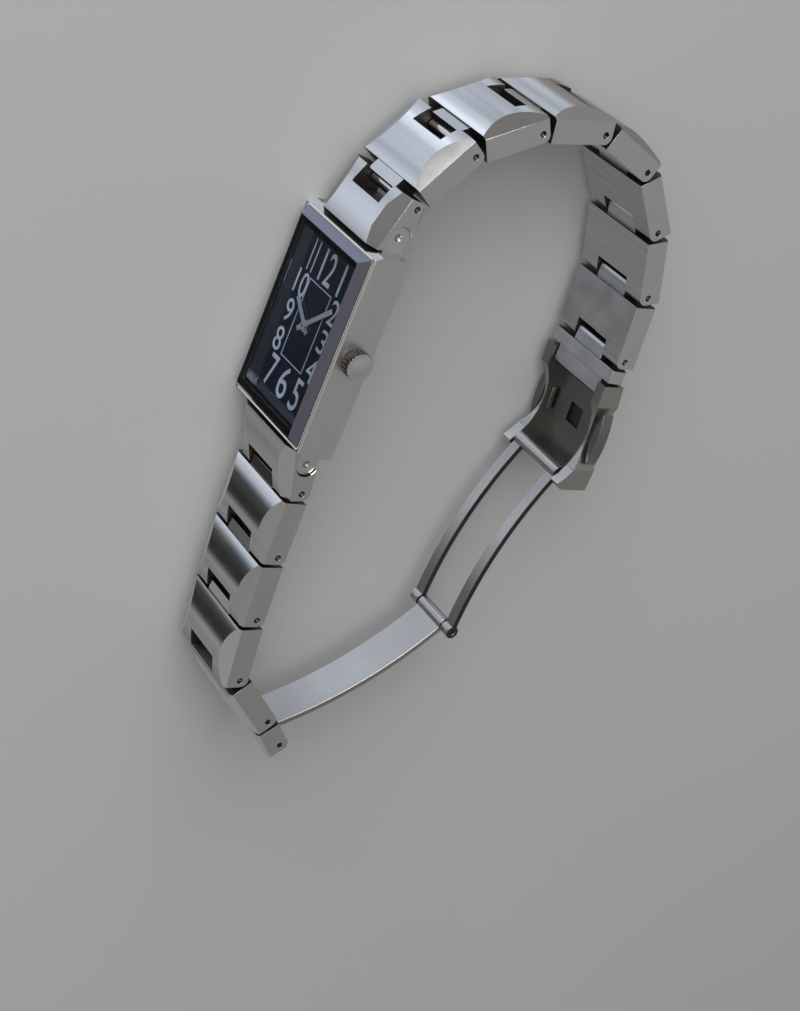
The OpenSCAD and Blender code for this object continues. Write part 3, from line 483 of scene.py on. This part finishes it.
def mineral_glass():
    """Clear glass that lets the lamps through to the dial: glass to the eye, tinted air to a shadow ray."""
    material, tree = new_material("hardened_mineral_glass")
    glass = add(tree, "ShaderNodeBsdfPrincipled",
                {"Base Color": linear(GLASS_HEX), "Roughness": 0.0, "IOR": GLASS_IOR,
                 "Transmission Weight": 1.0})
    air = add(tree, "ShaderNodeBsdfTransparent", {"Color": linear(GLASS_HEX)})
    ray = add(tree, "ShaderNodeLightPath")
    both = add(tree, "ShaderNodeMixShader",
               {0: ray.outputs["Is Shadow Ray"], 1: glass.outputs[0], 2: air.outputs[0]})
    add(tree, "ShaderNodeOutputMaterial", {"Surface": both.outputs[0]})
    return material


def refinish(piece, material, choose):
    """Gives another finish to the faces that choose picks from arrays of their normals and middles."""
    piece.data.materials.append(material)
    count = len(piece.data.polygons)
    normals, middles, slots = np.empty(count * 3), np.empty(count * 3), np.empty(count, np.int32)
    piece.data.polygons.foreach_get("normal", normals)
    piece.data.polygons.foreach_get("center", middles)
    piece.data.polygons.foreach_get("material_index", slots)
    slots[choose(normals.reshape(-1, 3), middles.reshape(-1, 3))] = len(piece.data.materials) - 1
    piece.data.polygons.foreach_set("material_index", slots)


def on_bevel(normals, middles):
    """True for faces that look out of the dial at a slant, and not straight out or sideways."""
    return (normals[:, 1] < -BEVEL_FROM) & (normals[:, 1] > -BEVEL_TO)


bevel_coat = metal("vapour_coated_glass_bevel", "#7C7B88", polish=0.05, grain=ALONG_Z,
                   grain_mm=HAIRLINE_MM)
refinish(tumbled("crystal", "cut_glass", mineral_glass(), GLASS_EDGE_MM), bevel_coat, on_bevel)
dress(acetal, "crystal_gasket")

# Crown
# A fluted steel knob on a turned stem, with a rubber ring on the tube inside it. Its end is satin like
# the case, and the flutes are painted dark, a painted shade and painted dark reflection on the grip, so that
# the grip stands out from the case.
CROWN_EDGE_MM = 0.03
# A face of the crown is part of its grip if its normal has a cosine with Z below this.
GRIP_BELOW = 0.5
# The dark tone of the flutes is painted shade and painted dark reflection, not the colour of cut steel.
cut_flutes_painted_shade = metal("cut_steel_flutes_painted_shade", "#413E3C", polish=0.30, grain=ALONG_Z, grain_mm=HAIRLINE_MM)
turned_steel = metal("turned_steel", "#A9A8A6", polish=0.26, grain=ALONG_Z, grain_mm=HAIRLINE_MM)
refinish(tumbled("crown", "crown_knob", case_steel, CROWN_EDGE_MM), cut_flutes_painted_shade,
         lambda normals, middles: np.abs(normals[:, 2]) < GRIP_BELOW)
dress(turned_steel, "winding_stem", "crown_tube")

# Bracelet
# Each link is cast and milled from 316L steel, with a tongue that turns on a steel pin between the ears
# of the link before it. Its arched face is polished and mirrors the room, its sides are satin, its inner
# face is brushed across, and its slot and ends are left as milled and painted dark, a painted shade that
# makes the gaps look dark.
SLOT_HALF_MM = 3.5
# A face looks a way if its normal's cosine with that way is over LOOKS, and leans to it over LEANS.
LOOKS, LEANS = 0.8, 0.6
LINK_GRAIN = (0.03, 1, 1)
MILLED_GRAIN_MM = 0.08
BRUSHED_GRAIN_MM = 0.07
link_steel = metal("polished_316L_link_steel", STEEL_HEX, polish=0.12, grain=LINK_GRAIN,
                   grain_mm=HAIRLINE_MM, satin=0.24, drawn=0.09)
# The milled steel is painted dark: a painted shade in the slots, the gaps between links, the latch recess and
# the fork's cut sides.
milled_steel_painted_shade = metal("milled_316L_steel_painted_shade", "#4A4846", polish=0.46, grain=ALONG_Z, grain_mm=MILLED_GRAIN_MM)
brushed_steel = metal("brushed_316L_inner_steel", "#CACACC", polish=0.38, grain=ALONG_Z,
                      grain_mm=BRUSHED_GRAIN_MM, drawn=0.22)
pin_steel = metal("blued_spring_steel_pin", "#4A4A4C", polish=0.30, grain=ALONG_Z, grain_mm=HAIRLINE_MM)


def axis_of(joint):
    """Where a joint of the record has its axis, in metres."""
    return Vector(next(j["pos_m"] for j in frame["record"]["behaviour"]["joints"] if j["name"] == joint))


def finish_link(piece, run, outward):
    """Brushes the face of a link that looks inwards, and leaves as milled, painted dark as shade, what looks
    along its run.

    What lies within the slot's width is milled and painted dark too, if it neither looks inwards nor leans
    outwards.
    """
    def is_inner(normals, middles):
        return normals @ outward < -LOOKS

    def is_milled(normals, middles):
        in_slot = np.abs(middles[:, 2] - dial_middle.z) < SLOT_HALF_MM * MM
        upright = (normals @ outward < LEANS) & (normals @ outward > -LOOKS)
        return (np.abs(normals @ run) > LOOKS) | (in_slot & upright)

    refinish(piece, brushed_steel, is_inner)
    refinish(piece, milled_steel_painted_shade, is_milled)


# Outwards lies a quarter turn from the run, to the left on the 12 o'clock side and to the right on the other.
for side, count, last_axis, spin in (("12", 7, "clasp_cover_turn", 1), ("6", 4, "inner_blade_fold", -1)):
    links = [f"link_{side}_{i}" for i in range(1, count + 1)]
    names = links + [f"clasp_link_{side}"]
    axes = [axis_of(name + "_turn") for name in names] + [axis_of(last_axis)]
    for name, start, end in zip(names, axes, axes[1:]):
        run = np.array((end - start).normalized())
        outward = spin * np.array((-run[1], run[0], 0))
        finish_link(tumbled(name, name + "_body", link_steel), run, outward)
    end_link = tumbled("end_link_" + side, f"end_link_{side}_body", link_steel)
    finish_link(end_link, np.array((1, 0, 0)), np.array((0, -1, 0)))
    dress(pin_steel, *[name.replace("link", "pin") for name in links])
dress(pin_steel, "end_link_pins")
dress(turned_steel, "lug_spring_bars")

# Folding clasp
# A cover pressed and milled with a waist for the two push buttons, a fork-shaped frame blade and a
# curved inner blade, all of 304 steel with a satin sheen. The channel inside the cover is matt and
# painted darker as painted shade, and its latch recess and the fork's cut sides are left as milled and
# painted dark as painted shade.
COVER_LENGTH_MM = 12.8
CHANNEL_HALF_MM = 5.45
LATCH_HALF_MM = 1.6
LATCH_FLOOR_MM = 0.595
# A face looks outwards from the first of these cosines on, and is a cut side of the fork from the second.
OUTER_FROM, CUT_FROM = 0.5, 0.9
BUTTON_EDGE_MM = 0.08
clasp_steel = metal("satin_304_clasp_steel", "#B3B0AC", polish=0.28, grain=LINK_GRAIN,
                    grain_mm=COARSE_HAIRLINE_MM, drawn=0.16)
# The channel's darker tone is painted shade inside the cover, on the same 304 steel.
channel_steel_painted_shade = metal("matt_304_channel_steel", "#83817F", polish=0.36, grain=LINK_GRAIN,
                      grain_mm=COARSE_HAIRLINE_MM, drawn=0.16)
button_steel = metal("satin_button_steel", "#8E8C8A", polish=0.34, grain=LINK_GRAIN,
                     grain_mm=COARSE_HAIRLINE_MM)
# The blade's hinge lies beside the cover's long line, so the cover leans off the line of its two axes.
cover_axis = axis_of("clasp_cover_turn")
cover_span = axis_of("frame_blade_fold") - cover_axis
cover_lean = np.arccos(COVER_LENGTH_MM * MM / cover_span.length)
cover_run = np.array(Matrix.Rotation(cover_lean, 3, "Z") @ cover_span.normalized())
cover_out = np.array((-cover_run[1], cover_run[0], 0))


def in_channel(normals, middles):
    """True for faces no further from the middle than the channel's walls that don't look outwards."""
    across = np.abs(middles[:, 2] - dial_middle.z)
    return (across < CHANNEL_HALF_MM * MM) & (normals @ cover_out < OUTER_FROM)


def in_latch_recess(normals, middles):
    """True for faces of the channel near its middle with less than the latch's floor outside them."""
    along = np.abs((middles - np.array(cover_axis)) @ cover_run - COVER_LENGTH_MM / 2 * MM)
    across = np.abs(middles[:, 2] - dial_middle.z)
    height = middles @ cover_out
    sunk = height > height.max() - LATCH_FLOOR_MM * MM
    return in_channel(normals, middles) & sunk & (np.maximum(along, across) < LATCH_HALF_MM * MM)


cover_shell = tumbled("clasp_cover", "cover_shell", clasp_steel)
# The channel inside the cover gets the darker steel as painted shade.
refinish(cover_shell, channel_steel_painted_shade, in_channel)
# The latch recess gets the dark milled steel as painted shade.
refinish(cover_shell, milled_steel_painted_shade, in_latch_recess)
# The fork's cut sides get the dark milled steel as painted shade.
refinish(tumbled("frame_blade", "fork_blade", clasp_steel), milled_steel_painted_shade,
         lambda normals, middles: np.abs(normals[:, 2]) > CUT_FROM)
tumbled("inner_blade", "curved_blade", clasp_steel)
tumbled("push_button_3", "button_pad_3", button_steel, BUTTON_EDGE_MM)
tumbled("push_button_9", "button_pad_9", button_steel, BUTTON_EDGE_MM)
dress(pin_steel, "cover_spring_bar", "cover_hinge_pin", "inner_blade_pin", "blade_joint_pin")
